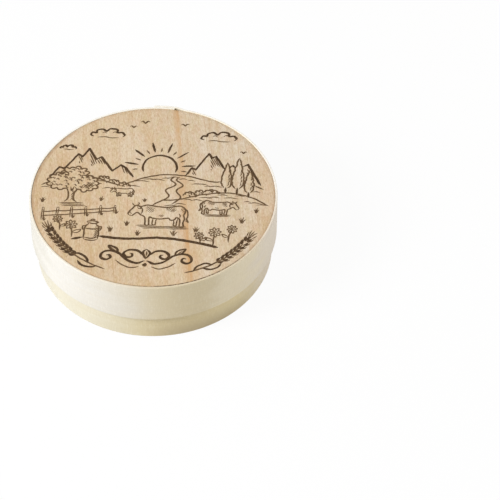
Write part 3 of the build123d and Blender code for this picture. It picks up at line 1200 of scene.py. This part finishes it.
def add_sky_and_trees(strokes):
    """Clouds, birds, bushes and trees in front of what is drawn so far."""
    for place, scale in (((-25, 37), 1.05), ((29, 38), 1.1), ((-43.5, 27.5), 0.5)):
        strokes += cloud(place, scale)
    for place, span in (((-8, 47.6), 4.6), ((-13.5, 44.4), 3.4), ((11.5, 47.0), 4.2), ((41, 30.4), 3.4)):
        strokes += bird(place, span)
    strokes += bushes([(-19.5, 6.2), (-24.5, 8.0), (-14.6, 4.4)], 2.8)
    strokes += bushes([(17.2, 0.2), (22.4, 1.6), (27.2, 2.8)], 3.1)
    for x, y, height, width in ((34.0, 3.6, 20, 5.2), (45.0, 1.6, 18, 5.0), (39.4, 3.0, 24, 6.0)):
        edge = [(x + width / 2 * wide, y + height * tall) for wide, tall in POPLAR_EDGE_SHARES]
        strokes = [*behind(edge, strokes), *poplar((x, y), height, width)]
    return [*behind(moved(OAK_EDGE, (-39, -7)), strokes), *oak((-39, -7))]


def add_pasture(strokes):
    """The fence, the cows, the shadows on the ground and its bold edge, in front of what is drawn so far."""
    strokes += fence((-51.0, -19.5), (-17.5, -13.0), 6, 7.2)
    for place, scale, facing in (((-14.5, -1.8), 0.42, 1), ((31, -10.5), 0.68, -1), ((4.5, -19.5), 1.05, 1)):
        edge = curve(moved(mirrored(COW_EDGE, facing), place, scale), closed=True)
        strokes = [*behind(edge, strokes), *cow(place, scale, facing)]
    strokes += hatch([(-8, -19.6), (17, -19.2), (19, -21.2), (-4, -21.6)], 0.85, 4)
    strokes += hatch([(-45, -7.4), (-33, -7.0), (-31, -9.6), (-43, -9.8)], 0.9, 3)
    strokes += hatch([(23, -10.6), (38, -10.2), (37, -11.8), (25, -12)], 0.8, 3)
    edge = [(-36, -30.8), (-26, -28.2), (-10, -28.8), (6, -27.2), (20, -28.6), (33, -31.4)]
    return strokes + curves(BRUSH, edge)


def add_foreground(strokes):
    """Tufts of grass, the churn and the flowers in front of what is drawn so far."""
    for x, y, height in (
        (-18.5, -25.0, 4.6), (-11.0, -20.6, 3.8), (21.8, -22.6, 4.8), (43.0, -15.5, 4.8), (49.5, -8.4, 3.8),
        (-47.0, -25.6, 4.4), (-5.4, -26.6, 4.2), (11.5, -25.6, 4.4), (-24.5, -5.6, 3.4), (-3.8, -4.8, 3.0),
        (-52.0, -8.2, 3.6),
    ):
        strokes += grass((x, y), height)
    strokes = [*behind(moved(CHURN_EDGE, (-27, -30.5)), strokes), *churn((-27, -30.5), 0.98)]
    for x, y, size, height, lean in (
        (30.4, -30.8, 2.6, 8.8, 0.4), (37.4, -28.0, 2.2, 8.6, 1.4), (24.4, -29.4, 2.0, 4.8, -0.8),
        (-36.0, -29.6, 2.6, 8.0, -1.0), (-42.0, -25.4, 2.0, 7.0, -1.6),
    ):
        petals = [on_circle((x + lean, y + height), 1.1 * size, angle) for angle in range(0, 360, 40)]
        strokes = [*behind(petals, strokes), *daisy((x, y), size, height, lean)]
    return strokes


def drawing():
    """The whole print: a pasture under crags, with a bold scroll between ears of wheat below it."""
    strokes = add_foreground(add_pasture(add_sky_and_trees(hills())))
    for side, turn in ((-1, 162), (1, 18)):
        strokes += wheat((side * 18.4, -48.2), turn, 36, 42 * side, 8)
    return [*strokes, *flourish((0, -39.2), 0.84)]


PRINT_TURN = -3.0
INK_HEIGHT = 0.02 * MM
INK_STEP = 0.0015 * MM
INK_LEVELS = 19
INK_DEPTH = 0.03 * MM
END_TAPER = 2.0
END_TAPER_SHARE = 0.45
END_SHARE = 0.35
PEN_TREMBLE = 0.16
PEN_TREMBLE_WAVES = 0.9
PEN_TREMBLE_SEED = 7
PEN_WANDER = 0.2
PEN_WANDER_LENGTH = 2.4
PEN_WANDER_SEEDS = (3.3, 8.6)
NIB_ANGLE = 35
NIB_THIN, NIB_THICK = 0.72, 1.12
SHARP_TURN = 38
CORNER_REACH = 0.6


def wandering(point):
    """A point moved a little, as by a hand that isn't quite steady."""
    u, v = point[0] / PEN_WANDER_LENGTH, point[1] / PEN_WANDER_LENGTH
    return tuple(at + PEN_WANDER * noise.noise((u, v, seed)) for at, seed in zip(point, PEN_WANDER_SEEDS))


def nib(side_x, side_y):
    """How wide a slanted nib draws a line, by the way across the line."""
    lean = abs(side_x * cos(radians(NIB_ANGLE)) + side_y * sin(radians(NIB_ANGLE)))
    return NIB_THIN + (NIB_THICK - NIB_THIN) * lean


def cut_at_turns(line):
    """A line's places as runs of indices, cut where it turns so sharply that a band would fold over."""
    runs, run = [], [0]
    for index in range(1, len(line) - 1):
        (x0, y0), (x1, y1), (x2, y2) = line[index - 1:index + 2]
        ahead = (x1 - x0) * (x2 - x1) + (y1 - y0) * (y2 - y1)
        aside = (x1 - x0) * (y2 - y1) - (y1 - y0) * (x2 - x1)
        run.append(index)
        if degrees(abs(atan2(aside, ahead))) > SHARP_TURN:
            runs.append(run)
            run = [index]
    return runs + [run + [len(line) - 1]]


def stroke_halves(line, pen):
    """Half the ink's width at each place on a line: thin at both ends and a little uneven between them."""
    lengths = [0.0]
    for before, after in zip(line, line[1:]):
        lengths.append(lengths[-1] + dist(before, after))
    whole = lengths[-1]
    taper = min(END_TAPER, whole * END_TAPER_SHARE)
    halves = []
    for (x, y), length in zip(line, lengths):
        end = smooth_step(min(length, whole - length) / taper) if taper else 1.0
        waves = (x * PEN_TREMBLE_WAVES, y * PEN_TREMBLE_WAVES, pen * PEN_TREMBLE_SEED)
        tremble = 1 + PEN_TREMBLE * noise.noise(waves)
        halves.append(0.5 * pen * (END_SHARE + (1 - END_SHARE) * end) * tremble)
    return halves


def ink_band(line, run, halves, pen, foot, level):
    """The corners of one band of ink, four at each place along a run: two on top and two below."""
    ink_top = INK_HEIGHT + INK_STEP * (level % INK_LEVELS)
    points = []
    for index in run:
        ahead_x, ahead_y = direction(line, index, run[0], run[-1])
        half = halves[index] * (nib(-ahead_y, ahead_x) if pen >= BROAD_PEN else 1.0)
        reach = 0.0
        if index == run[0] and index > 0:
            reach = -CORNER_REACH * half
        if index == run[-1] and index < len(line) - 1:
            reach = CORNER_REACH * half
        x, y = line[index][0] + reach * ahead_x, line[index][1] + reach * ahead_y
        top = ink_top + INK_STEP * index / len(line)
        for side, rise in ((-1, top), (1, top), (1, -INK_DEPTH), (-1, -INK_DEPTH)):
            points.append(((x - side * half * ahead_y) * MM, (y + side * half * ahead_x) * MM, foot + rise))
    return points


def add_print(name, strokes, foot, material):
    """Strokes of the drawing as thin bands of ink, each run of a stroke on the next of a few levels."""
    points, faces = [], []
    level = 0
    for line, pen in strokes:
        line = [wandering(point) for point in moved(line, (0, 0), 1.0, PRINT_TURN)]
        halves = stroke_halves(line, pen)
        for run in cut_at_turns(line):
            faces += tube_faces(len(points), 4, len(run), downward=True)
            points += ink_band(line, run, halves, pen, foot, level)
            level += 1
    new_piece(name, LID, points, faces, material, rounded=False)


# The whole scene

add_camera()
add_world(strength=0.44, colour=(1.03, 1.0, 0.93, 1))
add_area_light(
    "key_left", heading=204, height_angle=33, distance=1.4, size=0.5, watts=17.4, colour=(0.98, 1.0, 1.05),
)
add_area_light(
    "fill_right", heading=0, height_angle=20, distance=1.6, size=0.8, watts=8, colour=(1.0, 1.0, 1.0),
)
add_floor(half_side=2.0, whiteness=0.93)

lid_veneer = strip_wood("poplar_lid_strip", LID, LID_TONES)
base_veneer = strip_wood("poplar_base_strip", BASE, BASE_TONES)
add_strip("lid_strip", LID, lid_veneer, node="lid_hoop")
add_strip("base_strip", BASE, base_veneer, node="base_hoop")

lid_poplar = disc_wood("poplar_lid_board", LID.disc_high.x, LID_BOARD)
base_poplar = disc_wood("poplar_base_board", BASE.disc_high.x, BASE_BOARD)
add_disc("lid_board", LID, JOINT_CHIPS, lid_poplar, node="lid_disc")
add_disc("base_board", BASE, (), base_poplar, node="base_disc")

wire = staple_metal()
add_staples("lid_wire", LID, wire, node="lid_staples")
add_staples("base_wire", BASE, wire, node="base_staples")

picture = drawing()
bold_strokes = [(line, pen) for line, pen in picture if pen >= BROAD_PEN]
fine_strokes = [(line, pen) for line, pen in picture if pen < BROAD_PEN]
bold_ink = print_ink("bold_print_ink", (62, 43, 22), (84, 62, 38), 0.35)
fine_ink = print_ink("fine_print_ink", (88, 66, 42), (112, 88, 60), 0.5)
add_print("lid_print", bold_strokes, LID.disc_high.z + INK_STEP * INK_LEVELS, bold_ink)
add_print("lid_print_fine", fine_strokes, LID.disc_high.z, fine_ink)

glue = set_glue()
for node_name in ("lid_glue_line", "base_glue_line"):
    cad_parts[node_name].data.materials.clear()
    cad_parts[node_name].data.materials.append(glue)

bpy.context.scene.view_settings.view_transform = "Standard"
